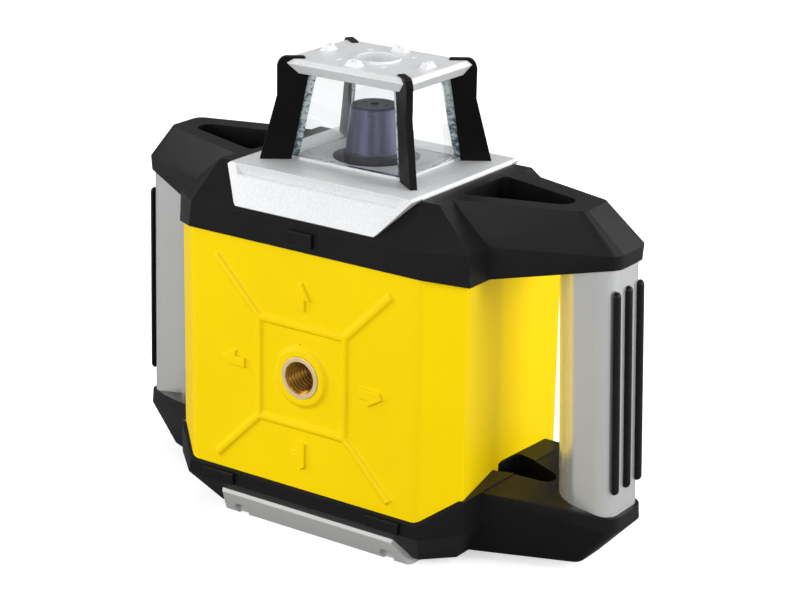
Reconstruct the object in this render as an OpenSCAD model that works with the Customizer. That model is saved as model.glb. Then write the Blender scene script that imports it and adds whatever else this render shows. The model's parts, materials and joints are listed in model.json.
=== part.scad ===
// Rotating laser level: a tough surveying laser with a glass-caged rotor head,
// two side grips and 5/8 inch tripod threads in its base and its back.
// Z is up. The origin is the middle of the base's underside, on the rotor's axis.
// The back, with the second tripod thread, faces +Y and the control panel faces -Y.

/* [Body] */
// Half width of the flat back face
back_half = 65; // [63:1:67]
// Distance from the rotor's axis to the back face, and to the front face
body_y = 57; // [56:0.5:58]
// Half width at the widest point of the housing
flank_x = 81.5; // [80:0.5:83]
// Half width of the waist beside the grips
waist_x = 70; // [69:0.5:71]
// Wall thickness of the housing
wall = 3; // [2.5:0.1:3.5]

/* [Bumpers] */
// How far the rubber bumpers stand proud of the housing
rubber = 1.3; // [1:0.1:2]
// Height of the top of the upper bumper
bumper_top = 175; // [175:0.5:176]
// Distance from the rotor's axis to the tip of an upper ear
ear_tip = 135.4; // [134.8:0.2:136.4]

/* [Grips] */
// Distance from the rotor's axis to the middle of a grip
grip_x = 119.6; // [119:0.2:120]
// Radius of a grip
grip_r = 15.4; // [15:0.1:15.5]
// Number of rubber ribs on each grip
rib_count = 3; // [2:1:3]
// Distance between two ribs
rib_pitch = 10.5; // [8:0.5:10.5]

/* [Head] */
// Height of the top of the metal cap
cap_top = 176.8; // [176.6:0.1:177.4]
// Height of the widest edge of the head's plate
rim_z = 222.9; // [220:0.5:226]
// Radius of the rotor at its foot
rotor_r = 13.4; // [12:0.2:14]
// Height of the rotor's top
rotor_top = 203.6; // [200:0.2:206]

/* [Threads] */
// Radius inside the 5/8 inch tripod threads
thread_r = 6.8; // [6.7:0.05:6.9]
// Outside radius of the brass inserts
insert_r = 10.2; // [9.8:0.1:10.6]
// Height of the rear tripod thread
rear_thread_z = 84.5; // [84:0.5:86]

/* [Levelling] */
// Height of the point about which the laser tilts
pivot_z = 143; // [142.5:0.5:143]
// Length of each levelling arm
arm_l = 34; // [33.5:0.5:34]
// Radius of the gimbal's pivot pins
pin_r = 2; // [1.8:0.1:2]

/* [Panel] */
// How far each button stands out of the panel
button_h = 1.6; // [1:0.1:2]
// Height of the battery door's hinge
hinge_z = 33.6; // [33.4:0.1:33.8]

/* [Hidden] */
$fn = 64;
eps = 0.05;
fit = 0.1;
run = 0.04;

// Heights of the main joints between the parts
base_top = 16;
house_low = 17.5;
house_full = 23;
house_roof = 154;
house_top = 171.5;
cap_low = 173;
mid_z = 90;
// Half sizes of the housing's raised top, under the cap
collar_x = 58;
collar_y = 35;
// Half sizes of the seals under the cap and over the base plate, and their widths
seal_x = 51.5;
seal_y = 34;
seal_w = 3;
base_seal_x = 47;
base_seal_y = 42;
base_seal_w = 8;
// Front corners of the housing
flank_y = 43;
waist_y = -8;
side_y = -52;
front_half = 62;
// Ears: their middle line swings forwards towards the tips
ear_root_y = -1.5;
upper_ear_y = [-3, -7.6];
lower_ear_y = [-6, -10];
lower_ear_out = 3.6;
// Resting plane of the three feet on the back
feet_y = body_y + rubber + 1.9;
// Grips
grip_y = -8.8;
grip_face = 15.2;
grip_back = 2.4;
grip_corner = 8;
grip_lean = [-1.19, -1.78, 0];
grip_low = 26;
grip_high = 154;
rib_r = 2.3;
rib_len = 98;
// Metal cap: its top's half sizes, how much deeper it is at the back, and the flaps' run and fall
cap_x = 52;
cap_y = 42.5;
cap_back = 2.8;
flap_x = 40.4;
flap_out = 11.6;
flap_down = 16.6;
chassis_places = [for (sx = [-1, 1], sy = [-1, 1]) [sx * 36, sy * 20]];
// Top of the head
plate_x = 36.3;
plate_y = 26.2;
plate_low = rim_z - 5;
plate_top = rim_z + 2;
leg_angle = 36.4;
leg_t = 3.4;
bezel_t = 1.8;
glass_t = 3.6;
glass_x = 32.8;
glass_y = 24.5;
glass_lean = 4.8;
// Rotor drive
collar_low = 174.4;
head_low = 182;
beam_z = 192;
window_r = 3.6;
well_r = 19.3;
window_turn = -62;
spindle_r = 5;
bearing_r = 9;
pulley_r = 11;
motor_x = -22;
motor_pulley_r = 4;
belt_t = 1;
// Platform, gimbal ring and chassis
flange_r = 20;
disc_r = 17;
ring_in = 23;
ring_out = 30;
chassis_in = 33;
chassis_out = 44;
// Levelling units
arm_z = pivot_z - 23;
screw_at = arm_l + 10;
screw_r = 1.5;
// Front panel
panel_y = -body_y;
panel_t = 2.5;
hinge_y = -body_y + 0.4;
hinge_r = 1.2;
knuckle_r = 2.6;
door_half = 53.7;
door_top = 86;
latch_z = 79;
latch_r = 3;
board_y = -48.4;
cell_r = 13.1;
cell_l = 50;
cell_y = -38;
cell_low = 41.5;
cell_high = 69;
tray_half = 54.4;
// Middle and half size of the power, mode, up and down keys
button_places = [[-36, 112, 8, 8], [36, 112, 8, 8], [0, 124, 10, 6], [0, 104, 10, 6]];
screw_places = [[-56, 92], [56, 92], [-56, 138], [56, 138]];
base_screw_places = [[-43, -38], [43, -38], [-43, 38], [43, 38]];

// ---------- outlines and helpers ----------

// A closed outline pushed out by d, with sharp corners. The points run anticlockwise.
function unit(v) = v / norm(v);
function edge_normal(a, b) = unit([b[1] - a[1], a[0] - b[0]]);
function grown(pts, d) = [
    for (i = [0:len(pts) - 1])
        let (before = pts[(i + len(pts) - 1) % len(pts)])
        let (after = pts[(i + 1) % len(pts)])
        let (n1 = edge_normal(before, pts[i]))
        let (n2 = edge_normal(pts[i], after))
        pts[i] + d * (n1 + n2) / (1 + n1 * n2)
];

// The right half of an outline, front to back, followed by its mirror image
function both_sides(half) = concat(half, [for (i = [len(half) - 1:-1:0]) [-half[i][0], half[i][1]]]);

// Points on a rounded corner at p, between edges that point along angles a and b, which meet at p
function rounded(p, r, a, b) = [
    for (t = [0:0.25:1])
        let (cut = r * tan((b - a) / 2))
        let (turn = a + (b - a) * t)
        p - cut * [cos(a), sin(a)] + r * [sin(turn) - sin(a), cos(a) - cos(turn)]
];

back_edge = atan2(body_y - flank_y, back_half - flank_x);
house_outline = both_sides(concat(
    [
        [front_half, -body_y],
        [waist_x + 2.5, side_y],
        [waist_x, waist_y],
        [flank_x, flank_y]
    ],
    rounded([back_half, body_y], 7, back_edge, 180)
));

// A grip's outline: round towards the housing, with a flat outer face and rounded corners
function arc_points(x, y, r, from, to) = [for (a = [from:7.5:to]) [x + r * cos(a), y + r * sin(a)]];
function grip_outline(g) = concat(
    arc_points(grip_face - grip_corner, grip_r - grip_corner, grip_corner + g, 0, 90),
    arc_points(-grip_back, 0, grip_r + g, 90, 270),
    arc_points(grip_face - grip_corner, grip_corner - grip_r, grip_corner + g, 270, 352.5)
);

// A solid with flat faces around a list of points
module around(pts) {
    hull()
        polyhedron(points = pts, faces = [[for (i = [0:len(pts) - 1]) i]]);
}

// A prism from an outline, between two heights
module prism(pts, low, high) {
    translate([0, 0, low])
        linear_extrude(high - low)
            polygon(pts);
}

// A box between two corners
module box(low, high) {
    translate(low)
        cube(high - low);
}

// A cylinder between two points that differ along one axis only
module rod_x(x1, x2, r) {
    translate([x1, 0, 0])
        rotate([0, 90, 0])
            cylinder(r = r, h = x2 - x1);
}

module rod_y(y1, y2, r) {
    translate([0, y1, 0])
        rotate([-90, 0, 0])
            cylinder(r = r, h = y2 - y1);
}

module rod_z(z1, z2, r) {
    translate([0, 0, z1])
        cylinder(r = r, h = z2 - z1);
}

// A box with sloping sides: sizes are half widths at the bottom and at the top
module frustum(bx, by, tx, ty, low, high) {
    intersection() {
        translate([0, by + tx + 1, 0])
            rotate([90, 0, 0])
                linear_extrude(2 * (by + tx + 1))
                    polygon([[-bx, low], [bx, low], [tx, high], [-tx, high]]);
        translate([-(bx + ty + 1), 0, 0])
            rotate([90, 0, 90])
                linear_extrude(2 * (bx + ty + 1))
                    polygon([[-by, low], [by, low], [ty, high], [-ty, high]]);
    }
}

// A flat tile with rounded corners, standing across the Y axis
module tile_y(half_w, half_h, r, y1, y2) {
    union() {
        box([-half_w + r, y1, -half_h], [half_w - r, y2, half_h]);
        box([-half_w, y1, -half_h + r], [half_w, y2, half_h - r]);
        for (sx = [-1, 1], sz = [-1, 1])
            translate([sx * (half_w - r), 0, sz * (half_h - r)])
                rod_y(y1, y2, r);
    }
}

module two_sides() {
    children();
    mirror([1, 0, 0])
        children();
}

// ---------- housing ----------

// The housing with nothing hollowed out, which the bumpers are cut to
module house_solid() {
    prism(house_outline, house_full, house_roof);
    prism(grown(house_outline, -4), house_low, house_full);
    box([-collar_x, -collar_y, house_roof], [collar_x, collar_y, house_top]);
}

// A raised ridge on the back face, between two points measured from the tripod thread
module ridge(from, to) {
    base_w = 4.6;
    top_w = 2;
    high = 1.3;
    d = to - from;
    translate([from[0], body_y, rear_thread_z + from[1]])
        rotate([0, -atan2(d[1], d[0]), 0])
            rotate([90, 0, 90])
                linear_extrude(norm(d))
                    polygon([
                        [-eps, -base_w / 2],
                        [high, -top_w / 2],
                        [high, top_w / 2],
                        [-eps, base_w / 2]
                    ]);
}

// Half arrow that shows which way round the laser lies on its back
module half_arrow(turn) {
    arrow_at = 39.5;
    arrow_h = 1.5;
    translate([0, body_y + arrow_h, rear_thread_z])
        rotate([90, turn, 0])
            linear_extrude(arrow_h + eps)
                translate([0, arrow_at])
                    polygon([[2.6, -6.8], [-2.2, -6.8], [-2.2, -1.4], [-5.4, -1.4], [-0.4, 6.8], [2.6, 5]]);
}

module back_marks() {
    frame_half = 24.6;
    frame_end = frame_half + 0.8;
    ridge_out = 50;
    for (s = [-1, 1]) {
        ridge([-frame_end, s * frame_half], [frame_end, s * frame_half]);
        ridge([s * frame_half, -frame_end], [s * frame_half, frame_end]);
        for (t = [-1, 1])
            ridge([s * frame_half, t * frame_half], [s * ridge_out, t * ridge_out]);
    }
    for (turn = [0:90:270])
        half_arrow(turn);
}

module rear_boss(r, y1, y2) {
    translate([0, 0, rear_thread_z])
        rod_y(y1, y2, r);
}

module main_housing() {
    boss_r = 14.2;
    window_half = 52;
    color([0.96, 0.83, 0.02])
        difference() {
            union() {
                difference() {
                    house_solid();
                    prism(grown(house_outline, -wall), house_full + wall, house_roof - wall);
                    box([base_seal_w - base_seal_x, base_seal_w - base_seal_y, house_low - 1],
                        [base_seal_x - base_seal_w, base_seal_y - base_seal_w, house_full + wall + 1]);
                    box([seal_w - seal_x, seal_w - seal_y, house_roof - wall - 1],
                        [seal_x - seal_w, seal_y - seal_w, house_top + 1]);
                }
                back_marks();
                translate([0, body_y - eps, rear_thread_z])
                    rotate([-90, 0, 0])
                        cylinder(r1 = boss_r + 1.2, r2 = boss_r - 0.8, h = 1.6 + eps);
                rear_boss(insert_r + 3, 40, body_y - wall + eps);
            }
            rear_boss(insert_r, 30, body_y + 5);
            box([-window_half, -body_y - 1, 30], [window_half, -body_y + wall + 1, 140]);
            for (p = screw_places)
                translate([p[0], 0, p[1]])
                    rod_y(-body_y - 1, -body_y + wall + 1, 1.5);
            for (p = base_screw_places)
                translate([p[0], p[1], 0])
                    rod_z(house_low - 1, house_full + 0.5, 1.5);
        }
}

// ---------- bumpers ----------

// Corner points of one side of an ear, from the housing outwards. side is 1 behind and -1 in front.
// The corner beside the tip is rounded, with points on an arc.
function ear_corner(side, x, y_mid, half, r, z) = [
    for (a = [0:11.25:90])
        [x - r + r * cos(a), y_mid + side * (half - r + r * sin(a)), z]
];
// mid holds the middle line's Y at the end of the flat top and at the tip.
function ear_points(side, tip, mid) = concat(
    [
        [58, ear_root_y + side * 31, bumper_top],
        [60, ear_root_y + side * 38.2, 156.5],
        [60, ear_root_y + side * 38.2, 141.3],
        [80, ear_root_y + side * 31.5, 141.3]
    ],
    ear_corner(side, tip - 17, mid[0], 12.2, 5, bumper_top),
    ear_corner(side, tip, mid[1], 16.6, 9.2, 156.6),
    ear_corner(side, tip - 0.4, mid[1], 16.2, 9, 149.8)
);

module ear(tip, mid) {
    around(concat(ear_points(1, tip, mid), ear_points(-1, tip, mid)));
}

// Pocket moulded into an ear to save weight, triangular with rounded corners
module ear_pocket(inner_x, outer_x, inner_y, low, high) {
    corner_r = 3;
    end_r = 6.5;
    translate([0, 0, low])
        linear_extrude(high - low)
            hull() {
                for (s = [-1, 1])
                    translate([inner_x, s * (inner_y - corner_r)])
                        circle(r = corner_r, $fn = 32);
                translate([outer_x - end_r, -1])
                    circle(r = end_r, $fn = 32);
            }
}

// Puts a grip's parts in place: it leans outwards and forwards towards its foot
module grip_place() {
    translate([grip_x, grip_y, mid_z])
        rotate(grip_lean)
            translate([0, 0, -mid_z])
                children();
}

module grip_socket() {
    grip_place()
        prism(grip_outline(fit), grip_low, grip_high);
}

module upper_bumper() {
    body = [
        for (sx = [-1, 1], sy = [-1, 1]) each [
            [sx * 62, sy * 38.7, bumper_top],
            [sx * (back_half - 1), sy * (body_y + rubber), 158.3],
            [sx * (flank_x + 0.6), sy * (flank_y + 1), 156.5],
            [sx * (back_half + 0.6), sy * (body_y + rubber), 145.6],
            [sx * (flank_x + rubber), sy * (flank_y + 1.2), 141.6]
        ]
    ];
    color([0.14, 0.14, 0.15])
        difference() {
            union() {
                around(body);
                two_sides()
                    ear(ear_tip, upper_ear_y);
            }
            house_solid();
            grow_cap();
            two_sides() {
                translate([0, -0.5, 0])
                    ear_pocket(62.5, 107, 18, 158, bumper_top + 1);
                grip_socket();
            }
            box([-seal_x - fit, -seal_y - fit, house_top - 1], [seal_x + fit, seal_y + fit, cap_top]);
        }
}

module lower_bumper() {
    body = [
        for (sx = [-1, 1], sy = [-1, 1]) each [
            [sx * 58.3, sy * 43.3, 3],
            [sx * 72, sy * 32, 4],
            [sx * (back_half + 2.2), sy * (body_y + rubber), 20.5],
            [sx * (flank_x + rubber), sy * (flank_y + 1.2), 22.5],
            [sx * (back_half + 0.8), sy * (body_y + rubber), 27.1],
            [sx * (flank_x + rubber), sy * (flank_y + 1.2), 38.8]
        ]
    ];
    color([0.14, 0.14, 0.15])
        difference() {
            union() {
                around(body);
                translate([0, 0, 2 * mid_z])
                    mirror([0, 0, 1])
                        two_sides()
                            ear(ear_tip + lower_ear_out, lower_ear_y);
            }
            house_solid();
            grow_base();
            two_sides() {
                translate([0, -8, 0])
                    ear_pocket(74, 99, 12, 22, 45);
                grip_socket();
            }
            box([-base_seal_x - fit, -base_seal_y - fit, base_top - 1],
                [base_seal_x + fit, base_seal_y + fit, house_low + 1]);
        }
}

// Blocks on the back that keep the laser level when it lies down
module rear_feet() {
    color([0.1, 0.1, 0.11]) {
        box([-7, body_y + rubber, 148.3], [7, feet_y, 155.4]);
        two_sides()
            box([38.8, body_y + rubber, 20.9], [57.2, feet_y, 26.5]);
    }
}

// ---------- grips ----------

module grip() {
    tube_wall = 3;
    color([0.78, 0.79, 0.8])
        grip_place()
            difference() {
                prism(grip_outline(0), grip_low + fit, grip_high - fit);
                prism(grip_outline(-tube_wall), grip_low + tube_wall, grip_high - tube_wall);
            }
}

module left_grip() {
    mirror([1, 0, 0])
        grip();
}

module right_grip() {
    grip();
}

// One rib: a half-round strip with domed ends
module rib(y) {
    low = mid_z + 0.3 - rib_len / 2;
    translate([grip_face, y, 0])
        intersection() {
            union() {
                rod_z(low + rib_r, low + rib_len - rib_r, rib_r);
                for (z = [rib_r, rib_len - rib_r])
                    translate([0, 0, low + z])
                        sphere(r = rib_r, $fn = 32);
            }
            box([0, -rib_r - 1, low - 1], [rib_r + 1, rib_r + 1, low + rib_len + 1]);
        }
}

module grip_ribs() {
    color([0.1, 0.1, 0.11])
        two_sides()
            grip_place()
                for (i = [0:rib_count - 1])
                    rib((i - (rib_count - 1) / 2) * rib_pitch);
}

// ---------- metal cap, cage and glass ----------

// The cap's outside, with a sloping flap at the front and at the back
module cap_body(g) {
    edge = 1.1;
    side_end = 37.5;
    low = cap_top - flap_down - 3;
    side = [
        [cap_x + g, cap_top - edge],
        [cap_x - edge, cap_top],
        [edge - cap_x, cap_top],
        [-cap_x - g, cap_top - edge]
    ];
    intersection() {
        translate([-cap_x - g, 0, 0])
            rotate([90, 0, 90])
                linear_extrude(2 * (cap_x + g))
                    polygon([
                        [-cap_y - g, cap_top],
                        [-cap_y - g - flap_out, cap_top - flap_down - g],
                        [-cap_y - flap_out + 3, cap_top - flap_down - 2.6 - g],
                        [-collar_y - 1, cap_low - g],
                        [collar_y + 1, cap_low - g],
                        [cap_y + cap_back + flap_out - 3, cap_top - flap_down - 2.6 - g],
                        [cap_y + cap_back + flap_out + g, cap_top - flap_down - g],
                        [cap_y + cap_back + g, cap_top]
                    ]);
        union() {
            translate([0, side_end, 0])
                rotate([90, 0, 0])
                    linear_extrude(2 * side_end)
                        polygon(concat([[-cap_x - g, low], [cap_x + g, low]], side));
            translate([0, 70, 0])
                rotate([90, 0, 0])
                    linear_extrude(140)
                        polygon(concat([
                            [-flap_x - g, cap_top - flap_down + 1],
                            [1.2 - flap_x - g, cap_top - flap_down - g],
                            [4 - flap_x - g, low],
                            [flap_x - 4 + g, low],
                            [flap_x - 1.2 + g, cap_top - flap_down - g],
                            [flap_x + g, cap_top - flap_down + 1]
                        ], side));
        }
    }
}

module grow_cap() {
    cap_body(fit);
    box([-cap_x - fit, -cap_y, cap_low], [cap_x + fit, cap_y + cap_back, cap_top + 1]);
}

module top_cap() {
    step_x = 48.6;
    step_end = 4;
    step_z = cap_top - 4.6;
    color([0.83, 0.84, 0.85])
        difference() {
            cap_body(0);
            // A step along the top of each flap
            for (y = [-cap_y, cap_y + cap_back + 20])
                translate([0, y, 0])
                    rotate([90, 0, 0])
                        linear_extrude(20)
                            polygon([
                                [-step_x, cap_top + 1],
                                [step_end - step_x, step_z],
                                [step_x - step_end, step_z],
                                [step_x, cap_top + 1]
                            ]);
            rod_z(cap_low - 1, cap_top + 1, 20);
            for (p = chassis_places)
                translate([p[0], p[1], 0])
                    rod_z(cap_low - 1, cap_top - 1.2, screw_r);
        }
}

// A rectangular ring of sealing rubber, w wide, with outside half sizes x and y
module seal(x, y, w, low, high) {
    difference() {
        box([-x, -y, low], [x, y, high]);
        box([w - x, w - y, low - 1], [x - w, y - w, high + 1]);
    }
}

module cap_gasket() {
    color([0.1, 0.1, 0.1])
        seal(seal_x, seal_y, seal_w, house_top, cap_low);
}

module plate_blank(g) {
    inset_low = 3.4;
    inset_top = 2;
    frustum(plate_x - inset_low + g, plate_y - inset_low + g, plate_x + g, plate_y + g, plate_low - g, rim_z);
    frustum(plate_x + g, plate_y + g, plate_x - inset_top + g, plate_y - inset_top + g, rim_z, plate_top + g);
}

// A hipped sight with a notch, for aiming by eye over the head
module sight() {
    difference() {
        frustum(4.2, 2.6, 2.4, 1, plate_top - eps, plate_top + 3);
        translate([0, 0, plate_top + 4])
            rotate([0, 45, 0])
                box([-1.6, -5, -1.6], [1.6, 5, 1.6]);
    }
}

module cage_plate() {
    hole_r = 9.6;
    color([0.8, 0.81, 0.82])
        difference() {
            union() {
                plate_blank(0);
                rod_z(plate_top - eps, plate_top + 0.9, hole_r + 1.6);
                for (s = [-1, 1]) {
                    translate([s * 28, 0, 0])
                        rotate([0, 0, 90])
                            sight();
                    translate([0, s * 18.5, 0])
                        sight();
                }
            }
            rod_z(plate_low - 1, plate_top + 2, hole_r);
            for (a = [45:90:315])
                rotate([0, 0, a])
                    translate([17.5, 0, plate_top - 0.6])
                        rod_z(0, 1, 1.5);
        }
}

// One leg: a thin fin on the diagonal that hooks over the plate's corner
module leg(g) {
    outer_r = 46.4;
    rotate([90, 0, 0])
        linear_extrude(leg_t + 2 * g, center = true)
            polygon([
                [39.4 - g, cap_top],
                [54.3 + g, cap_top],
                [outer_r + g, rim_z - 16],
                [outer_r + g, plate_top - 3.4],
                [outer_r - 0.7, plate_top - 1.4],
                [outer_r - 2, plate_top + 0.1],
                [outer_r - 3.8, plate_top + 0.9],
                [34.2, plate_top + 0.9],
                [33.2, plate_top + 0.2],
                [33.2, plate_top - 1],
                [36, plate_low + 1],
                [31.6 - g, plate_low - 0.2]
            ]);
}

module cage_legs() {
    color([0.08, 0.08, 0.09])
        difference() {
            for (a = [leg_angle, 180 - leg_angle, 180 + leg_angle, -leg_angle])
                rotate([0, 0, a])
                    leg(0);
            plate_blank(0);
            glass_blank(fit, 2);
        }
}

// The outside of the glass grown by g, and carried on past both ends by more
module glass_blank(g, more) {
    low = cap_top + bezel_t;
    d = glass_lean * more / (plate_low - low);
    top_x = glass_x - glass_lean;
    top_y = glass_y - glass_lean;
    frustum(glass_x + g + d, glass_y + g + d, top_x + g - d, top_y + g - d, low - more, plate_low + more);
}

// Four leaning panes, mitred along the corners
module glass_panes() {
    color([0.85, 0.95, 0.93, 0.35])
        difference() {
            glass_blank(0, 0);
            glass_blank(-glass_t, 1);
            for (a = [leg_angle, 180 - leg_angle, 180 + leg_angle, -leg_angle])
                rotate([0, 0, a])
                    box([20, -fit, cap_top - 1], [60, fit, plate_low + 1]);
        }
}

module rotor_bezel() {
    bezel_x = 31.4;
    bezel_y = 23.2;
    bezel_r = 6;
    low = cap_top;
    high = cap_top + bezel_t;
    color([0.86, 0.86, 0.88])
        difference() {
            union() {
                box([-bezel_x + bezel_r, -bezel_y, low], [bezel_x - bezel_r, bezel_y, high]);
                box([-bezel_x, -bezel_y + bezel_r, low], [bezel_x, bezel_y - bezel_r, high]);
                for (sx = [-1, 1], sy = [-1, 1])
                    translate([sx * (bezel_x - bezel_r), sy * (bezel_y - bezel_r), 0])
                        rod_z(low, high, bezel_r);
            }
            rod_z(low - 1, high + 1, well_r);
            for (sx = [-1, 1], sy = [-1, 1])
                translate([sx * 23.6, sy * 16, high - 1.2])
                    box([-2.4, -1.4, 0], [2.4, 1.4, 2]);
        }
}

// ---------- base ----------

module base_blank(g) {
    // Half sizes at the underside, at the rim and at the top
    low = [55.5, 45.8];
    rim = [52.6, 54.2];
    top = [51.6, 52.6];
    rim_at = 13;
    intersection() {
        union() {
            frustum(low[0] + g, low[1] + g, rim[0] + g, rim[1] + g, 0, rim_at);
            frustum(rim[0] + g, rim[1] + g, top[0] + g, top[1] + g, rim_at, base_top);
        }
        prism(grown(both_sides([[47, -60], [60, -34], [60, 34], [47, 60]]), g), -1, base_top + 1);
    }
}

module grow_base() {
    base_blank(fit);
    translate([0, 0, -4])
        base_blank(fit);
}

module base_plate() {
    color([0.72, 0.73, 0.74])
        difference() {
            union() {
                base_blank(0);
                rod_z(base_top - eps, base_top + 6, insert_r + 4);
            }
            rod_z(-1, base_top + 10, insert_r);
            // Long hollows in the underside, either side of the thread
            two_sides()
                box([20, -30, -1], [38, 30, 2.5]);
            for (s = [-1, 1])
                box([-12, s * 36 - 7, -1], [12, s * 36 + 7, 2.5]);
            for (p = base_screw_places)
                translate([p[0], p[1], 0]) {
                    rod_z(-1, 7, 4.6);
                    rod_z(6, base_top + 1, 1.6);
                }
            // Openings at the ends of the slanted edge, over the screws
            for (p = base_screw_places)
                translate([p[0], sign(p[1]) * 50, 2.6])
                    rotate([0, 90, 90])
                        rod_z(-6, 6, 3.6);
        }
}

module base_gasket() {
    color([0.1, 0.1, 0.1])
        difference() {
            seal(base_seal_x, base_seal_y, base_seal_w, base_top, house_low);
            for (p = base_screw_places)
                translate([p[0], p[1], 0])
                    rod_z(base_top - 1, house_low + 1, 1.6);
        }
}

module base_insert() {
    color([0.8, 0.62, 0.28])
        difference() {
            rod_z(0, base_top + 6, insert_r);
            rod_z(-1, base_top + 7, thread_r);
            translate([0, 0, -eps])
                cylinder(r1 = thread_r + 1.6, r2 = thread_r, h = 1.6);
        }
}

module rear_insert() {
    depth = 22;
    face_y = body_y + 2;
    color([0.8, 0.62, 0.28])
        difference() {
            rear_boss(insert_r, face_y - depth, face_y);
            rear_boss(thread_r, face_y - depth - 1, face_y + 1);
            translate([0, face_y + eps, rear_thread_z])
                rotate([90, 0, 0])
                    cylinder(r1 = thread_r + 1.6, r2 = thread_r, h = 1.6);
        }
}

module base_screws() {
    color([0.5, 0.5, 0.52])
        for (p = base_screw_places)
            translate([p[0], p[1], 0])
                difference() {
                    union() {
                        rod_z(4, 7, 4);
                        rod_z(6.9, house_full, 1.5);
                    }
                    translate([0, 0, 3])
                        cylinder(r = 1.6, h = 3, $fn = 6);
                }
}

module cover_screws() {
    color([0.2, 0.2, 0.21])
        for (p = screw_places)
            translate([p[0], 0, p[1]])
                difference() {
                    union() {
                        rod_y(panel_y - panel_t + 0.5, panel_y - panel_t + 2, 2.7);
                        rod_y(panel_y - panel_t + 1.9, -body_y + wall - 0.5, 1.45);
                    }
                    rotate([90, 0, 0])
                        translate([0, 0, -panel_y + panel_t - 2])
                            cylinder(r = 1.3, h = 3, $fn = 6);
                }
}

// ---------- rotor ----------

module rotor_head() {
    color([0.33, 0.32, 0.42])
        difference() {
            union() {
                translate([0, 0, head_low])
                    cylinder(r1 = rotor_r, r2 = rotor_r - 1.9, h = rotor_top - head_low - 1);
                translate([0, 0, rotor_top - 1])
                    cylinder(r1 = rotor_r - 1.9, r2 = rotor_r - 2.9, h = 1);
            }
            rod_z(head_low - 1, 199.5, 9);
            rod_z(199, rotor_top + 1, 2.4);
            two_sides()
                translate([6.2, 0, 0])
                    rod_z(201, rotor_top + 1, 1.1);
            translate([0, 0, beam_z])
                rotate([0, 0, window_turn])
                    rod_x(5, 20, window_r);
        }
}

module rotor_collar() {
    color([0.2, 0.2, 0.26])
        difference() {
            union() {
                rod_z(collar_low, 180.6, rotor_r + 0.8);
                rod_z(collar_low, collar_low + 2, 15.4);
                rod_z(180.5, head_low, rotor_r);
            }
            rod_z(collar_low - 1, head_low + 1, spindle_r);
        }
}

module rotor_window() {
    color([0.75, 0.9, 0.9, 0.35])
        translate([0, 0, beam_z])
            rotate([0, 0, window_turn])
                rod_x(9.6, 11.4, window_r);
}

// Five-sided prism that turns the upright beam out through the window
module rotor_prism() {
    s = 5;
    color([0.8, 0.92, 0.92, 0.35])
        rotate([0, 0, window_turn])
            translate([0, 4, beam_z])
                rotate([90, 0, 0])
                    linear_extrude(8)
                        polygon([
                            [s, -s],
                            [s, s * 0.8],
                            [-s * 0.2, s * 1.2],
                            [-s * 1.2, s * 0.2],
                            [-s * 0.8, -s]
                        ]);
}

module rotor_spindle() {
    color([0.7, 0.71, 0.73])
        difference() {
            rod_z(pivot_z - 16, head_low + 2, spindle_r);
            rod_z(pivot_z - 17, head_low + 3, 3);
        }
}

module rotor_pulley() {
    color([0.3, 0.3, 0.32])
        difference() {
            union() {
                rod_z(pivot_z - 15, pivot_z - 8, pulley_r);
                rod_z(pivot_z - 15, pivot_z - 14, pulley_r + 1.2);
                rod_z(pivot_z - 9, pivot_z - 8, pulley_r + 1.2);
            }
            rod_z(pivot_z - 16, pivot_z - 7, spindle_r);
        }
}

module bearing(low) {
    color([0.6, 0.61, 0.63])
        difference() {
            rod_z(low, low + 5, bearing_r);
            rod_z(low - 1, low + 6, spindle_r + run);
            for (z = [low - 1, low + 4.5])
                difference() {
                    rod_z(z, z + 1.5, bearing_r - 1);
                    rod_z(z - 1, z + 3, spindle_r + 1);
                }
        }
}

module upper_bearing() {
    bearing(pivot_z + 22);
}

module lower_bearing() {
    bearing(pivot_z - 2);
}

// ---------- tilting platform and gimbal ----------

module levelling_arm() {
    translate([0, 0, arm_z]) {
        rod_x(disc_r - 3, arm_l, 1.5);
        translate([arm_l, 0, 0])
            sphere(r = 2, $fn = 40);
    }
}

module tilt_platform() {
    color([0.62, 0.64, 0.66])
        difference() {
            union() {
                rod_z(pivot_z - 5, pivot_z + 5, flange_r);
                rod_z(pivot_z + 4, pivot_z + 29, bearing_r + 3.5);
                for (s = [-1, 1])
                    translate([0, s * 15, 0])
                        box([-7, -2, arm_z], [7, 2, pivot_z]);
                rod_z(arm_z - 2, arm_z + 2, disc_r);
                translate([motor_x, 0, 0])
                    rod_z(arm_z - 2, arm_z + 2, 9);
                box([motor_x, -9, arm_z - 2], [0, 9, arm_z + 2]);
                levelling_arm();
                rotate([0, 0, 90])
                    levelling_arm();
            }
            rod_z(pivot_z - 6, pivot_z + 30, bearing_r);
            rod_z(arm_z - 3, arm_z + 3, 8);
            translate([motor_x, 0, 0])
                rod_z(arm_z - 3, arm_z + 3, 7);
            translate([0, 0, pivot_z])
                for (s = [-1, 1])
                    scale([1, s, 1])
                        rod_y(bearing_r + 3, flange_r + 1, pin_r + run);
        }
}

module gimbal_ring() {
    color([0.5, 0.52, 0.55])
        difference() {
            rod_z(pivot_z - 4, pivot_z + 4, ring_out);
            rod_z(pivot_z - 5, pivot_z + 5, ring_in);
            translate([0, 0, pivot_z]) {
                rod_y(-ring_out - 1, ring_out + 1, pin_r);
                rod_x(-ring_out - 1, ring_out + 1, pin_r + run);
            }
        }
}

module y_pivot_pins() {
    color([0.75, 0.75, 0.78])
        translate([0, 0, pivot_z])
            for (s = [-1, 1])
                scale([1, s, 1])
                    rod_y(bearing_r + 4, ring_out - 0.5, pin_r);
}

module x_pivot_pins() {
    color([0.75, 0.75, 0.78])
        translate([0, 0, pivot_z])
            two_sides()
                rod_x(ring_in + 1, chassis_out - 2, pin_r);
}

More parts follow.
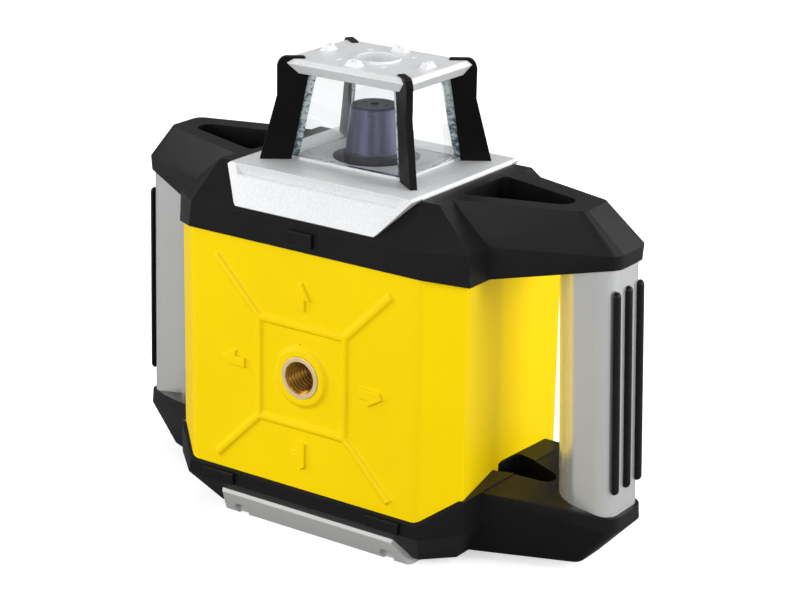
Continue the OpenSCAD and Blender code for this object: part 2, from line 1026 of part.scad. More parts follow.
// Bracket that hangs from the chassis and holds one levelling screw
module screw_bracket() {
    back = screw_at + 5.5;
    box([chassis_in + 6, -8, pivot_z - 4], [back + 3, 8, pivot_z + 4]);
    box([back, -8, arm_z - 18], [back + 3, 8, pivot_z]);
    box([screw_at - 5, -8, arm_z - 18], [back + 1, 8, arm_z - 15]);
}

module laser_chassis() {
    color([0.45, 0.46, 0.48])
        difference() {
            union() {
                rod_z(pivot_z - 4, pivot_z + 4, chassis_out);
                screw_bracket();
                rotate([0, 0, 90])
                    screw_bracket();
                for (p = chassis_places)
                    translate([p[0], p[1], 0])
                        rod_z(pivot_z, cap_low, 4);
            }
            rod_z(pivot_z - 5, pivot_z + 5, chassis_in);
            for (p = chassis_places)
                translate([p[0], p[1], 0])
                    rod_z(pivot_z - 5, cap_low + 1, screw_r + 0.1);
            translate([0, 0, pivot_z])
                rod_x(-chassis_out + 2, chassis_out - 2, pin_r);
            for (a = [0, 90])
                rotate([0, 0, a])
                    translate([screw_at, 0, 0]) {
                        rod_z(arm_z - 19, arm_z - 14, screw_r + run);
                        rod_z(pivot_z - 5, pivot_z + 5, screw_r + run);
                    }
        }
}

module chassis_screws() {
    color([0.55, 0.55, 0.57])
        for (p = chassis_places)
            translate([p[0], p[1], 0]) {
                rod_z(pivot_z - 6.5, pivot_z - 4, 2.8);
                rod_z(pivot_z - 4.1, cap_top - 1.5, screw_r);
            }
}

module level_motors() {
    color([0.68, 0.69, 0.7])
        for (a = [0, 90])
            rotate([0, 0, a])
                translate([screw_at, 0, 0])
                    difference() {
                        rod_z(pivot_z - 14, pivot_z - 4, 5.4);
                        rod_z(pivot_z - 15, pivot_z - 3, screw_r + run);
                    }
}

module level_screw() {
    translate([screw_at, 0, 0]) {
        rod_z(arm_z - 17.5, pivot_z + 3, screw_r);
        rod_z(arm_z - 14.9, arm_z - 13.6, screw_r + 1);
    }
}

module side_level_screw() {
    color([0.78, 0.78, 0.8])
        level_screw();
}

module rear_level_screw() {
    color([0.78, 0.78, 0.8])
        rotate([0, 0, 90])
            level_screw();
}

// Nut with two jaws that hold the ball of a levelling arm
module level_nut() {
    jaw_gap = 2.5;
    jaw_t = 1.5;
    difference() {
        union() {
            box([screw_at - 4, -3.6, arm_z - 4], [screw_at + 5.4, 3.6, arm_z + 4]);
            for (s = [-1, 1])
                box([arm_l - 4, -5, arm_z + s * (jaw_gap + jaw_t / 2) - jaw_t / 2],
                    [screw_at - 3, 5, arm_z + s * (jaw_gap + jaw_t / 2) + jaw_t / 2]);
        }
        translate([screw_at, 0, 0])
            rod_z(arm_z - 5, arm_z + 5, screw_r + run);
    }
}

module side_level_nut() {
    color([0.85, 0.7, 0.4])
        level_nut();
}

module rear_level_nut() {
    color([0.85, 0.7, 0.4])
        rotate([0, 0, 90])
            level_nut();
}

// ---------- drive and optics ----------

module rotor_motor() {
    color([0.66, 0.67, 0.68])
        translate([motor_x, 0, 0])
            difference() {
                rod_z(arm_z - 16, arm_z + 5, 7);
                rod_z(arm_z + 1, arm_z + 6, screw_r + run);
            }
}

module motor_pulley() {
    color([0.3, 0.3, 0.32])
        translate([motor_x, 0, 0]) {
            rod_z(pivot_z - 15, pivot_z - 8, motor_pulley_r);
            rod_z(arm_z + 2, pivot_z - 14, screw_r);
        }
}

// Outline of two round ends joined by straight sides
module loop_2d(g) {
    hull() {
        circle(r = pulley_r + g, $fn = 48);
        translate([motor_x, 0])
            circle(r = motor_pulley_r + g, $fn = 48);
    }
}

module drive_belt() {
    color([0.08, 0.08, 0.08])
        translate([0, 0, pivot_z - 13.6])
            difference() {
                linear_extrude(4.2)
                    loop_2d(belt_t + 0.05);
                translate([0, 0, -1])
                    linear_extrude(6.2)
                        loop_2d(0.05);
            }
}

module collimator_tube() {
    color([0.25, 0.25, 0.27])
        difference() {
            rod_z(arm_z - 30, arm_z + 6.5, 8);
            rod_z(arm_z - 31, arm_z + 8, 6);
        }
}

module collimator_lens() {
    color([0.8, 0.9, 0.95, 0.35])
        rod_z(arm_z + 1, arm_z + 4, 6);
}

module laser_diode() {
    color([0.75, 0.6, 0.3]) {
        rod_z(arm_z - 30, arm_z - 27, 6);
        rod_z(arm_z - 27.1, arm_z - 24, 3.5);
    }
}

module level_vials() {
    vial_r = 2.5;
    vial_z = arm_z - 2 - vial_r;
    color([0.7, 0.85, 0.5, 0.35]) {
        translate([0, -12, vial_z])
            rod_x(-8, 8, vial_r);
        translate([12, 0, vial_z])
            rod_y(-6, 8, vial_r);
    }
}

// ---------- front panel ----------

module front_cover() {
    screw_head_r = 2.9;
    color([0.2, 0.21, 0.22])
        difference() {
            union() {
                // Face plate with cut corners
                translate([0, panel_y, 0])
                    rotate([90, 0, 0])
                        linear_extrude(panel_t)
                            polygon([
                                [-61, 28.5],
                                [61, 28.5],
                                [61, 138],
                                [57, 142.5],
                                [-57, 142.5],
                                [-61, 138]
                            ]);
                // Rim that fits into the housing's window
                difference() {
                    box([-51.8, panel_y - eps, 90.6], [51.8, panel_y + wall, 139.8]);
                    box([-49.8, panel_y - 1, 92.6], [49.8, panel_y + wall + 1, 137.8]);
                }
                // Lugs that carry the door's hinge pin
                two_sides()
                    box([50, panel_y - panel_t + 0.2, 30.6], [51.8, hinge_y + 2.6, hinge_z + 2.6]);
            }
            // Opening for the battery door, clear of the lugs
            box([-door_half - 0.3, panel_y - panel_t - 1, hinge_z + 2.8],
                [door_half + 0.3, panel_y + 1, door_top + 0.6]);
            box([-49.9, panel_y - panel_t - 1, 30.6], [49.9, panel_y + 1, hinge_z + 4]);
            translate([0, hinge_y, hinge_z])
                rod_x(-53, 53, hinge_r);
            // Shallow field around the keys
            translate([0, 0, 114])
                tile_y(47, 19, 5, panel_y - panel_t - 1, panel_y - panel_t + 0.6);
            for (b = button_places)
                translate([b[0], 0, b[1]])
                    tile_y(b[2] + 0.3, b[3] + 0.3, 2.3, panel_y - panel_t - 1, panel_y + 1);
            for (x = [-12, 0, 12])
                translate([x, 0, 114])
                    rod_y(panel_y - panel_t - 1, panel_y + 1, 1.6);
            for (p = screw_places)
                translate([p[0], 0, p[1]]) {
                    rod_y(panel_y - panel_t - 1, panel_y + 1, 1.6);
                    rod_y(panel_y - panel_t - 1, panel_y - panel_t + 2, screw_head_r);
                }
        }
}

// A key: it stands out of the panel and is held in by its flange
module key(b) {
    translate([b[0], 0, b[1]]) {
        tile_y(b[2], b[3], 2, panel_y - panel_t - button_h + 0.6, panel_y + 1);
        tile_y(b[2] + 1, b[3] + 1, 2, panel_y + 0.1, panel_y + 1.2);
    }
}

module power_button() {
    color([0.2, 0.55, 0.3])
        key(button_places[0]);
}

module mode_button() {
    color([0.75, 0.76, 0.78])
        key(button_places[1]);
}

module up_button() {
    color([0.75, 0.76, 0.78])
        key(button_places[2]);
}

module down_button() {
    color([0.75, 0.76, 0.78])
        key(button_places[3]);
}

module main_board() {
    board_t = 1.6;
    color([0.1, 0.4, 0.2]) {
        box([-46, board_y - board_t, 94], [46, board_y, 134]);
        box([-20, board_y - eps, 100], [-4, board_y + 2, 116]);
        box([10, board_y - eps, 98], [24, board_y + 5, 106]);
    }
}

module tact_switches() {
    color([0.12, 0.12, 0.13])
        for (b = button_places)
            translate([b[0], 0, b[1]]) {
                box([-3, board_y - 1.6 - 3.5, -3], [3, board_y - 1.6, 3]);
                rod_y(panel_y + 2.2, board_y - 5, 1.6);
            }
}

module status_lights() {
    color([0.9, 0.3, 0.2])
        for (x = [-12, 0, 12])
            translate([x, 0, 114]) {
                rod_y(panel_y - panel_t + 0.3, board_y - 1.6, 1.5);
                translate([0, panel_y - panel_t + 0.3, 0])
                    sphere(r = 1.5, $fn = 32);
            }
}

// ---------- battery bay ----------

module battery_tray() {
    end = tray_half - 1.6;
    open_r = cell_r + 0.3;
    color([0.13, 0.13, 0.14])
        difference() {
            box([-tray_half, -52.5, cell_low - open_r - 1.2],
                [tray_half, cell_y + open_r + 1.6, cell_high + open_r + 1.2]);
            for (z = [cell_low, cell_high])
                translate([0, cell_y, z]) {
                    rod_x(-end, end, open_r);
                    box([-end, -20, -open_r], [end, 0, open_r]);
                }
        }
}

module battery_cells() {
    nub_r = 4.5;
    color([0.55, 0.56, 0.58])
        for (z = [cell_low, cell_high], s = [-1, 1])
            translate([0, cell_y, z])
                scale([s, 1, 1]) {
                    rod_x(1.6, cell_l, cell_r);
                    rod_x(0.2, 1.7, nub_r);
                }
}

// Contact springs at the outer ends of the cells: three rings that grow towards the tray's wall
module contact_springs() {
    ring_t = 0.8;
    color([0.75, 0.75, 0.77])
        for (z = [cell_low, cell_high], s = [-1, 1])
            translate([0, cell_y, z])
                scale([s, 1, 1])
                    for (i = [0:2])
                        difference() {
                            rod_x(cell_l + 0.05 + ring_t * i, cell_l + 0.1 + ring_t * (i + 1), 4.5 + 0.7 * i);
                            rod_x(cell_l, cell_l + 3, 3.4 + 0.7 * i);
                        }
}

module battery_door() {
    door_y = panel_y - panel_t + 0.2;
    inner_y = panel_y - fit;
    color([0.16, 0.17, 0.18])
        difference() {
            union() {
                box([-door_half, door_y, hinge_z + 4.4], [door_half, inner_y, door_top]);
                box([-49.6, door_y, hinge_z], [49.6, inner_y, hinge_z + 4.5]);
                translate([0, hinge_y, hinge_z])
                    rod_x(-49.6, 49.6, knuckle_r);
                // Grip ridges below the latch
                for (z = [44:5:64])
                    translate([0, 0, z])
                        box([-30, door_y - 0.9, -0.8], [30, door_y + eps, 0.8]);
            }
            translate([0, hinge_y, hinge_z])
                rod_x(-54, 54, hinge_r + run);
            translate([0, 0, latch_z])
                rod_y(door_y - 1, panel_y + 1, latch_r + run);
        }
}

module door_hinge_pin() {
    color([0.7, 0.7, 0.72])
        translate([0, hinge_y, hinge_z])
            rod_x(-51.8, 51.8, hinge_r);
}

module door_latch() {
    knob_y = panel_y - panel_t + 0.1;
    color([0.75, 0.76, 0.78])
        translate([0, 0, latch_z])
            difference() {
                union() {
                    rod_y(knob_y - 1.8, knob_y, 6);
                    box([-5.6, knob_y - 3.2, -1.2], [5.6, knob_y - 1, 1.2]);
                    rod_y(knob_y - 1, panel_y + 2.4, latch_r);
                    box([-3, panel_y + 0.6, -3], [10.4, panel_y + 2.4, 3]);
                }
                rod_y(panel_y + 1, panel_y + 5, 1.2);
            }
}

main_housing();
front_cover();
upper_bumper();
lower_bumper();
left_grip();
right_grip();
grip_ribs();
rear_feet();
top_cap();
cap_gasket();
cage_plate();
cage_legs();
glass_panes();
rotor_bezel();
base_plate();
base_gasket();
base_insert();
rear_insert();
base_screws();
cover_screws();
rotor_head();
rotor_collar();
rotor_window();
rotor_prism();
rotor_spindle();
rotor_pulley();
upper_bearing();
lower_bearing();
tilt_platform();
gimbal_ring();
x_pivot_pins();
y_pivot_pins();
laser_chassis();
chassis_screws();
rotor_motor();
motor_pulley();
drive_belt();
collimator_tube();
collimator_lens();
laser_diode();
level_vials();
level_motors();
rear_level_screw();
side_level_screw();
rear_level_nut();
side_level_nut();
main_board();
tact_switches();
status_lights();
battery_tray();
battery_cells();
contact_springs();
battery_door();
door_hinge_pin();
door_latch();
power_button();
mode_button();
up_button();
down_button();
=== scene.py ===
"""Looks for the rotating laser level: materials, rounded edges, fine details, floor, light and camera."""
import json
import math

import bmesh
import bpy
from mathutils import Matrix, Vector


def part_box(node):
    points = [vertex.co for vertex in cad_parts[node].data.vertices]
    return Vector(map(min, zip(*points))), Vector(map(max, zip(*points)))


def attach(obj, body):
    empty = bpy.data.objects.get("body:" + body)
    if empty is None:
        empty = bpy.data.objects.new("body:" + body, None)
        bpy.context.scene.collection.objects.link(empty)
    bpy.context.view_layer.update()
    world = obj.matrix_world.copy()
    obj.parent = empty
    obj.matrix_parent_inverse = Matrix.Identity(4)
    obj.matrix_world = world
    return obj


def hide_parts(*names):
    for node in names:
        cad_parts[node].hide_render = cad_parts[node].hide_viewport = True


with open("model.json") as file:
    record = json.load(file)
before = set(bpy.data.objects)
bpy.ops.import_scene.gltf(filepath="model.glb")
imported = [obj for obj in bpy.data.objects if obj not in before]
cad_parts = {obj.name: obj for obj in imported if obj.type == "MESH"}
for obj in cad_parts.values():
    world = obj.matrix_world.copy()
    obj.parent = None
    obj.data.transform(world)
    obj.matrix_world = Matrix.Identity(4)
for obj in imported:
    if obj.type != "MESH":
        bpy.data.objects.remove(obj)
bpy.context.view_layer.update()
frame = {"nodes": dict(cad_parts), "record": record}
nodes = frame["nodes"]

MM = 0.001
BUMP_DEPTH = 0.2 * MM
WHITE = (1.0, 1.0, 1.0, 1.0)

# A 5/8 inch, 11 turns per inch thread
THREAD_MINOR_R = 6.8 * MM
THREAD_MAJOR_R = 7.9 * MM
THREAD_PITCH = 25.4 / 11.0 * MM


# ---------- material helpers ----------

def new_material(name):
    material = bpy.data.materials.new(name)
    material.use_nodes = True
    return material


def link(tree, source, target):
    tree.links.new(source, target)


def node_of(tree, kind, **values):
    made = tree.nodes.new(kind)
    for key, value in values.items():
        setattr(made, key, value)
    return made


def coordinates(tree):
    return node_of(tree, "ShaderNodeTexCoord").outputs["Object"]


def noise(tree, vector, scale, detail=4.0, roughness=0.5):
    made = node_of(tree, "ShaderNodeTexNoise")
    made.inputs["Scale"].default_value = scale
    made.inputs["Detail"].default_value = detail
    made.inputs["Roughness"].default_value = roughness
    link(tree, vector, made.inputs["Vector"])
    return made.outputs["Fac"]


def stretched(tree, vector, scale):
    made = node_of(tree, "ShaderNodeMapping")
    made.inputs["Scale"].default_value = scale
    link(tree, vector, made.inputs["Vector"])
    return made.outputs["Vector"]


def ramp(tree, value, low, high, to_low=0.0, to_high=1.0):
    made = node_of(tree, "ShaderNodeMapRange")
    made.inputs["From Min"].default_value = low
    made.inputs["From Max"].default_value = high
    made.inputs["To Min"].default_value = to_low
    made.inputs["To Max"].default_value = to_high
    link(tree, value, made.inputs["Value"])
    return made.outputs["Result"]


def mixed(tree, factor, first, second):
    made = node_of(tree, "ShaderNodeMix", data_type="RGBA")
    for socket, colour in ((made.inputs[6], first), (made.inputs[7], second)):
        if isinstance(colour, tuple):
            socket.default_value = (*colour, 1.0)
        else:
            link(tree, colour, socket)
    link(tree, factor, made.inputs[0])
    return made.outputs[2]


def bumped(tree, height, strength, distance):
    made = node_of(tree, "ShaderNodeBump")
    made.inputs["Strength"].default_value = strength
    made.inputs["Distance"].default_value = distance
    link(tree, height, made.inputs["Height"])
    return made.outputs["Normal"]


def edge_wear(tree, radius):
    """1 on worn edges, 0 elsewhere: how far the rounded normal turns away from the face's own."""
    bevel = node_of(tree, "ShaderNodeBevel")
    bevel.samples = 4
    bevel.inputs["Radius"].default_value = radius
    geometry = node_of(tree, "ShaderNodeNewGeometry")
    dot = node_of(tree, "ShaderNodeVectorMath", operation="DOT_PRODUCT")
    link(tree, bevel.outputs["Normal"], dot.inputs[0])
    link(tree, geometry.outputs["Normal"], dot.inputs[1])
    return ramp(tree, dot.outputs["Value"], 0.94, 0.75)


def surface(name, colour, variation=0.06, rough=0.4, rough_spread=0.08, grain=900.0, grain_depth=0.04,
            metallic=0.0, worn=None, wear_radius=0.6 * MM, stretch=None, shine=0.5, flakes=0.0):
    """A moulded or machined surface: colour clouds, uneven gloss, fine grain and worn edges.

    flakes darkens fine specks of the colour, as in a silver paint. stretch draws the grain out along one axis.
    """
    material = new_material(name)
    tree = material.node_tree
    shader = tree.nodes["Principled BSDF"]
    place = coordinates(tree)
    clouds = noise(tree, place, 14.0, 5.0)
    dark = tuple(max(0.0, c * (1.0 - variation)) for c in colour)
    light = tuple(min(1.0, c * (1.0 + variation)) for c in colour)
    tint = mixed(tree, ramp(tree, clouds, 0.3, 0.7), dark, light)
    if flakes:
        specks = ramp(tree, noise(tree, place, 1300.0, 2.0, 0.7), 0.38, 0.62, 0.0, flakes)
        tint = mixed(tree, specks, tint, tuple(0.25 * c for c in colour))
    if worn:
        speckle = ramp(tree, noise(tree, place, 420.0, 3.0), 0.42, 0.62)
        edge = edge_wear(tree, wear_radius)
        both = node_of(tree, "ShaderNodeMath", operation="MULTIPLY")
        link(tree, speckle, both.inputs[0])
        link(tree, edge, both.inputs[1])
        tint = mixed(tree, both.outputs["Value"], tint, worn)
    link(tree, tint, shader.inputs["Base Color"])
    smudges = noise(tree, place, 60.0, 6.0, 0.6)
    link(tree, ramp(tree, smudges, 0.25, 0.75, rough - rough_spread, rough + rough_spread),
         shader.inputs["Roughness"])
    fine_place = stretched(tree, place, stretch) if stretch else place
    fine = noise(tree, fine_place, grain, 3.0, 0.6)
    link(tree, bumped(tree, fine, grain_depth, BUMP_DEPTH), shader.inputs["Normal"])
    shader.inputs["Metallic"].default_value = metallic
    shader.inputs["Specular IOR Level"].default_value = shine
    return material


def glass(name, tint, rough, ior=1.5):
    """Clear glass with a faint tint and slightly uneven polish."""
    material = new_material(name)
    tree = material.node_tree
    shader = tree.nodes["Principled BSDF"]
    place = coordinates(tree)
    shade = tuple(c * 0.97 for c in tint)
    link(tree, mixed(tree, noise(tree, place, 30.0), tint, shade), shader.inputs["Base Color"])
    link(tree, ramp(tree, noise(tree, place, 90.0), 0.3, 0.7, rough * 0.5, rough * 1.5),
         shader.inputs["Roughness"])
    shader.inputs["Transmission Weight"].default_value = 1.0
    shader.inputs["IOR"].default_value = ior
    return material


def ground_glass(name):
    """The ground end faces of the panes: bright, with dark chatter marks, more of them lower down."""
    material = new_material(name)
    tree = material.node_tree
    shader = tree.nodes["Principled BSDF"]
    place = coordinates(tree)
    marks = noise(tree, stretched(tree, place, (1.0, 1.0, 1.6)), 330.0, 4.0, 0.7)
    low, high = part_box("glass_panes")
    rise = node_of(tree, "ShaderNodeSeparateXYZ")
    link(tree, place, rise.inputs[0])
    deeper = ramp(tree, rise.outputs["Z"], low.z, high.z, 0.12, -0.04)
    chatter = node_of(tree, "ShaderNodeMath", operation="ADD")
    link(tree, marks, chatter.inputs[0])
    link(tree, deeper, chatter.inputs[1])
    dark_marks = ramp(tree, chatter.outputs["Value"], 0.5, 0.62)
    link(tree, mixed(tree, dark_marks, (0.90, 0.96, 0.97), (0.10, 0.19, 0.24)), shader.inputs["Base Color"])
    link(tree, ramp(tree, marks, 0.3, 0.7, 0.12, 0.4), shader.inputs["Roughness"])
    link(tree, bumped(tree, marks, 0.5, 0.3 * MM), shader.inputs["Normal"])
    return material


# ---------- materials ----------

MATERIALS = {
    "yellow_shell": surface("yellow_shell", (0.92, 0.655, 0.0), 0.03, 0.4, 0.05, 1500.0, 0.05,
                            worn=(0.98, 0.8, 0.05), wear_radius=0.8 * MM, shine=0.1),
    "black_rubber": surface("black_rubber", (0.005, 0.005, 0.0055), 0.12, 0.42, 0.06, 2200.0, 0.1,
                            worn=(0.03, 0.03, 0.03), shine=0.19),
    "seal_rubber": surface("seal_rubber", (0.01, 0.01, 0.01), 0.1, 0.7, 0.05, 1800.0, 0.1),
    "grip_plastic": surface("grip_plastic", (0.80, 0.81, 0.81), 0.015, 0.22, 0.02, 1600.0, 0.01,
                            metallic=0.72, shine=0.9),
    "dark_panel": surface("dark_panel", (0.03, 0.031, 0.034), 0.1, 0.45, 0.06, 1400.0, 0.15,
                          worn=(0.09, 0.09, 0.09)),
    "black_plastic": surface("black_plastic", (0.003, 0.003, 0.0035), 0.1, 0.42, 0.06, 1600.0, 0.08,
                             worn=(0.03, 0.03, 0.03), shine=0.1),
    "key_grey": surface("key_grey", (0.45, 0.46, 0.48), 0.04, 0.55, 0.05, 1800.0, 0.06,
                        worn=(0.6, 0.6, 0.6)),
    "key_green": surface("key_green", (0.03, 0.25, 0.07), 0.06, 0.55, 0.05, 1800.0, 0.06,
                         worn=(0.1, 0.4, 0.15)),
    "silver_cap": surface("silver_cap", (0.78, 0.79, 0.80), 0.03, 0.38, 0.05, 2600.0, 0.12, metallic=0.22,
                          worn=(0.95, 0.95, 0.95), flakes=0.16),
    "cast_silver": surface("cast_silver", (0.60, 0.60, 0.59), 0.05, 0.48, 0.06, 900.0, 0.25, metallic=0.15,
                           worn=(0.8, 0.8, 0.8), flakes=0.12),
    "machined_alu": surface("machined_alu", (0.6, 0.61, 0.62), 0.04, 0.3, 0.06, 300.0, 0.2, metallic=1.0,
                            stretch=(1.0, 1.0, 18.0), worn=(0.8, 0.8, 0.8)),
    "rotor_anodised": surface("rotor_anodised", (0.075, 0.072, 0.125), 0.05, 0.3, 0.05, 1200.0, 0.05,
                              metallic=0.8, worn=(0.4, 0.4, 0.5)),
    # Painted shade: the rotor's own anodised colour darkened to under half, standing in for the shade on the
    # rotor's foot down in its recess
    "rotor_dark": surface("rotor_dark", (0.035, 0.033, 0.055), 0.06, 0.4, 0.05, 1200.0, 0.05, metallic=0.5,
                          worn=(0.15, 0.15, 0.2)),
    "cage_glass": glass("cage_glass", (0.97, 0.985, 0.985), 0.01),
    "ground_glass": ground_glass("ground_glass"),
    "optic_glass": glass("optic_glass", (0.9, 0.95, 1.0), 0.01, 1.6),
    "steel": surface("steel", (0.58, 0.58, 0.6), 0.05, 0.3, 0.08, 400.0, 0.2, metallic=1.0,
                     stretch=(1.0, 12.0, 1.0), worn=(0.8, 0.8, 0.8)),
    "brass": surface("brass", (0.88, 0.70, 0.40), 0.08, 0.33, 0.06, 300.0, 0.15, metallic=0.5,
                     stretch=(1.0, 10.0, 1.0), worn=(0.98, 0.9, 0.7), wear_radius=0.4 * MM),
    "brass_bore": surface("brass_bore", (0.42, 0.20, 0.025), 0.12, 0.3, 0.06, 300.0, 0.15, metallic=0.8,
                          worn=(0.8, 0.6, 0.3), wear_radius=0.3 * MM),
    "board_green": surface("board_green", (0.01, 0.12, 0.04), 0.1, 0.3, 0.05, 700.0, 0.05),
    "lamp_red": surface("lamp_red", (0.7, 0.05, 0.03), 0.05, 0.15, 0.03, 900.0, 0.02),
    "cell_label": surface("cell_label", (0.2, 0.21, 0.23), 0.05, 0.35, 0.05, 900.0, 0.03),
}


def paint_nodes():
    """Gives each CAD part the material of its slot in the record."""
    for part in frame["record"]["subparts"]:
        shape = nodes[part["node"]]
        shape.data.materials.clear()
        shape.data.materials.append(MATERIALS[part["material_slot"]])


# ---------- rounded edges on the CAD parts ----------

# Parts whose edges are rounded at full width. On the rest, short edges limit the width of all.
FREE_ROUNDING = ("main_housing", "rear_feet", "base_plate", "cage_plate")

# Each part's rounding width in mm, and the angle in degrees above which an edge is rounded
ROUNDING_MM = {
    "main_housing": (0.6, 7.0),
    "upper_bumper": (1.5, 13.0),
    "lower_bumper": (1.5, 13.0),
    "rear_feet": (0.5, 30.0),
    "left_grip": (0.6, 40.0),
    "right_grip": (0.6, 40.0),
    "top_cap": (0.5, 20.0),
    "cage_plate": (0.35, 20.0),
    "cage_legs": (0.7, 30.0),
    "glass_panes": (0.3, 20.0),
    "rotor_bezel": (0.3, 30.0),
    "base_plate": (0.5, 30.0),
    "rotor_head": (0.3, 30.0),
    "rotor_collar": (0.3, 30.0),
    "front_cover": (0.4, 30.0),
    "battery_door": (0.5, 30.0),
    "door_latch": (0.4, 30.0),
    "power_button": (0.5, 40.0),
    "mode_button": (0.5, 40.0),
    "up_button": (0.5, 40.0),
    "down_button": (0.5, 40.0),
}


def clear_custom_normals(shape):
    """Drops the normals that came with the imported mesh, so that the rounded faces get new ones."""
    bpy.context.view_layer.objects.active = shape
    shape.select_set(True)
    bpy.ops.mesh.customdata_custom_splitnormals_clear()
    shape.select_set(False)


def round_edges(name, width, angle):
    """Merges flat faces, rounds the edges sharper than angle and smooths the rest."""
    shape = nodes[name]
    clear_custom_normals(shape)
    for face in shape.data.polygons:
        face.use_smooth = True
    weld = shape.modifiers.new("weld", "WELD")
    weld.merge_threshold = 0.01 * MM
    flat = shape.modifiers.new("flat", "DECIMATE")
    flat.decimate_type = "DISSOLVE"
    flat.angle_limit = math.radians(0.4)
    bevel = shape.modifiers.new("bevel", "BEVEL")
    bevel.width = width
    bevel.segments = 3
    bevel.limit_method = "ANGLE"
    bevel.angle_limit = math.radians(angle)
    bevel.use_clamp_overlap = name not in FREE_ROUNDING
    weighted = shape.modifiers.new("weighted", "WEIGHTED_NORMAL")
    weighted.keep_sharp = True
    weighted.weight = 80


# ---------- pieces ----------

def piece(name, build, slot, body, rounded_mm, angle):
    """A new object from a bmesh, riding on a body, with the edges sharper than angle rounded."""
    mesh = bpy.data.meshes.new(name)
    bmesh.ops.recalc_face_normals(build, faces=build.faces)
    build.to_mesh(mesh)
    build.free()
    shape = bpy.data.objects.new(name, mesh)
    bpy.context.scene.collection.objects.link(shape)
    mesh.materials.append(MATERIALS[slot])
    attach(shape, body)
    bevel = shape.modifiers.new("bevel", "BEVEL")
    bevel.width = rounded_mm * MM
    bevel.segments = 2
    bevel.limit_method = "ANGLE"
    bevel.angle_limit = math.radians(angle)
    return shape


def thread_insert(name, replaced, body, centre, axis, outer_r, length):
    """A turned brass insert with real 5/8 inch thread turns inside, along axis from centre."""
    around, per_turn, chamfer, bore_margin = 72, 8, 1.0 * MM, 0.3 * MM
    rows = int(length / THREAD_PITCH * per_turn)
    side = axis.orthogonal().normalized()
    other = axis.cross(side)
    build = bmesh.new()

    def ring(radius_at, along):
        """One loop of points round the axis."""
        made = []
        for i in range(around):
            turn = 2.0 * math.pi * i / around
            r = radius_at(turn)
            spot = centre + axis * along + side * (r * math.cos(turn)) + other * (r * math.sin(turn))
            made.append(build.verts.new(spot))
        return made

    def bore(along):
        """The bore's radius round the axis at a depth, with a chamfer at each end."""
        def radius_at(turn):
            phase = (along / THREAD_PITCH - turn / (2.0 * math.pi)) % 1.0
            tooth = 1.0 - abs(2.0 * phase - 1.0)
            cut = min(1.0, max(0.0, 1.25 * tooth - 0.12))
            lead = max(0.0, along - (length - chamfer), chamfer - along)
            return THREAD_MINOR_R + max((THREAD_MAJOR_R - THREAD_MINOR_R) * cut, 1.3 * lead)
        return radius_at

    rings = [ring(lambda turn: outer_r, 0.0)]
    rings += [ring(bore(length * k / rows), length * k / rows) for k in range(rows + 1)]
    rings += [ring(lambda turn: outer_r, length)]
    for k in range(len(rings)):
        first, second = rings[k], rings[(k + 1) % len(rings)]
        for i in range(around):
            n = (i + 1) % around
            build.faces.new((first[i], first[n], second[n], second[i]))
    shape = piece(name, build, "brass", body, 0.25, 60.0)
    shape.data.materials.append(MATERIALS["brass_bore"])
    for face in shape.data.polygons:
        out = face.center - centre
        if (out - axis * out.dot(axis)).length < THREAD_MAJOR_R + bore_margin:
            face.material_index = 1
    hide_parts(replaced)


def inserts():
    """Real threads in place of the two plain CAD inserts, each in the space of its own box."""
    for name, axis in (("base_insert", Vector((0.0, 0.0, -1.0))), ("rear_insert", Vector((0.0, 1.0, 0.0)))):
        low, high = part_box(name)
        size = high - low
        length = abs(size.dot(axis))
        start = (low + high) / 2.0 - axis * (length / 2.0)
        thread_insert("threaded_" + name, name, "case", start, axis, size.x / 2.0, length)


def ground_edges():
    """Gives the end faces of the panes a ground-glass look of their own."""
    panes = nodes["glass_panes"]
    panes.data.materials.append(MATERIALS["ground_glass"])
    for face in panes.data.polygons:
        normal = face.normal
        upright = abs(normal.z) < 0.35
        squint = min(abs(normal.x), abs(normal.y))
        if upright and squint > 0.3:
            face.material_index = 1


# ---------- stage ----------

def floor_paint():
    """White to the eye, with soft shadows, but grey to the light bounced up onto the laser."""
    material = new_material("floor_paint")
    tree = material.node_tree
    shader = tree.nodes["Principled BSDF"]
    rays = node_of(tree, "ShaderNodeLightPath").outputs
    through_glass = node_of(tree, "ShaderNodeMath", operation="MULTIPLY")
    link(tree, rays["Is Transmission Ray"], through_glass.inputs[0])
    through_glass.inputs[1].default_value = 0.75
    seen = node_of(tree, "ShaderNodeMath", operation="MAXIMUM")
    link(tree, rays["Is Camera Ray"], seen.inputs[0])
    link(tree, through_glass.outputs["Value"], seen.inputs[1])
    tint = mixed(tree, seen.outputs["Value"], (0.3, 0.3, 0.3), (0.9, 0.9, 0.9))
    link(tree, tint, shader.inputs["Base Color"])
    shader.inputs["Roughness"].default_value = 0.9
    shader.inputs["Specular IOR Level"].default_value = 0.0
    shader.inputs["Emission Color"].default_value = WHITE
    link(tree, ramp(tree, seen.outputs["Value"], 0.0, 1.0, 0.0, 0.55), shader.inputs["Emission Strength"])
    return material


def floor():
    """A square floor, wide enough that its edge stays far from the laser."""
    mesh = bpy.data.meshes.new("floor")
    half = 12.0
    build = bmesh.new()
    corners = ((-half, -half), (half, -half), (half, half), (-half, half))
    build.faces.new([build.verts.new((x, y, 0.0)) for x, y in corners])
    build.to_mesh(mesh)
    build.free()
    shape = bpy.data.objects.new("floor", mesh)
    bpy.context.scene.collection.objects.link(shape)
    mesh.materials.append(floor_paint())


def area_light(name, place, target, size, power):
    """A white soft box at place, turned to target. Sizes are in metres and power in watts."""
    data = bpy.data.lights.new(name, "AREA")
    data.shape = "RECTANGLE"
    data.size, data.size_y = size
    data.energy = power
    lamp = bpy.data.objects.new(name, data)
    bpy.context.scene.collection.objects.link(lamp)
    lamp.location = place
    lamp.rotation_euler = (Vector(target) - Vector(place)).to_track_quat("-Z", "Y").to_euler()


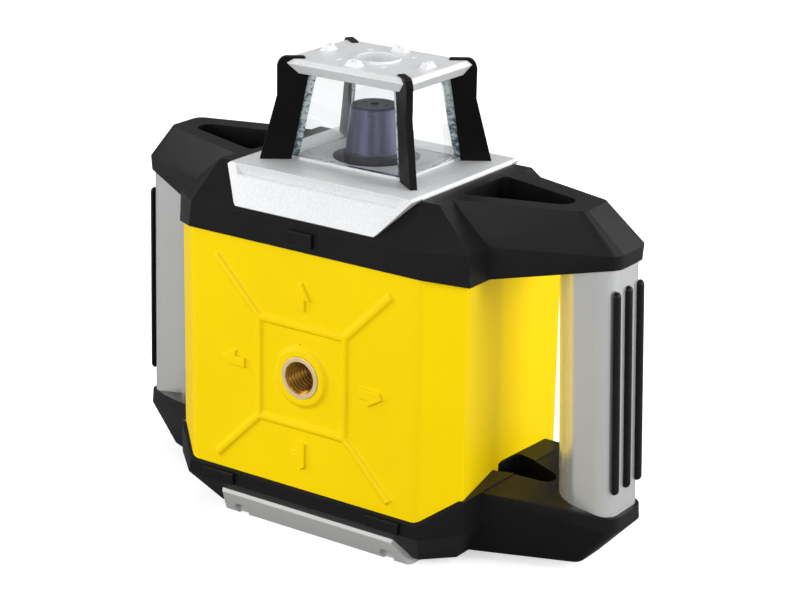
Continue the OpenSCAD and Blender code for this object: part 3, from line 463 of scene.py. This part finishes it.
def lights():
    """Soft boxes around the laser, and a white sky that is weaker as a light than to the eye."""
    world = bpy.data.worlds.new("studio")
    bpy.context.scene.world = world
    world.use_nodes = True
    tree = world.node_tree
    sky = tree.nodes["Background"]
    sky.inputs["Color"].default_value = WHITE
    seen = node_of(tree, "ShaderNodeLightPath").outputs["Is Camera Ray"]
    link(tree, ramp(tree, seen, 0.0, 1.0, 0.25, 1.0), sky.inputs["Strength"])
    bpy.context.scene.view_settings.view_transform = "Standard"
    middle = (0.0, 0.0, 0.11)
    area_light("key", (0.25, 1.6, 0.6), middle, (1.0, 0.9), 15.5)
    area_light("overhead", (0.1, -0.3, 1.5), middle, (0.8, 0.8), 8.0)
    area_light("beside_camera", (-1.3, 1.0, 0.5), middle, (0.8, 0.8), 4.5)
    area_light("side", (-1.5, -0.3, 0.7), middle, (0.9, 1.2), 18.0)
    area_light("low_side", (-1.2, -1.1, 0.12), middle, (0.9, 0.7), 14.0)
    area_light("front_left", (-0.7, -1.3, 0.8), middle, (0.8, 0.8), 3.5)
    area_light("far_side", (1.3, 0.7, 0.6), middle, (0.7, 1.0), 9.0)


def camera():
    """A long lens behind and above the laser, turned a little about its own axis."""
    yaw, pitch, roll = math.radians(34.395), math.radians(19.015), math.radians(1.111)
    distance = 1.14016
    target = Vector((-0.015303, 0.0, 0.110045))
    back = Vector((-math.sin(yaw) * math.cos(pitch), math.cos(yaw) * math.cos(pitch), math.sin(pitch)))
    right = (-back).cross(Vector((0.0, 0.0, 1.0))).normalized()
    up = right.cross(-back)
    turned_right = right * math.cos(roll) + up * math.sin(roll)
    turned_up = up * math.cos(roll) - right * math.sin(roll)
    data = bpy.data.cameras.new("camera")
    data.sensor_width = 36.0
    data.lens = 108.08
    made = bpy.data.objects.new("camera", data)
    bpy.context.scene.collection.objects.link(made)
    turn = Matrix((turned_right, turned_up, back)).transposed().to_4x4()
    made.matrix_world = Matrix.Translation(target + back * distance) @ turn
    bpy.context.scene.camera = made


paint_nodes()
ground_edges()
for name, (width_mm, angle) in ROUNDING_MM.items():
    round_edges(name, width_mm * MM, angle)
inserts()
floor()
lights()
camera()
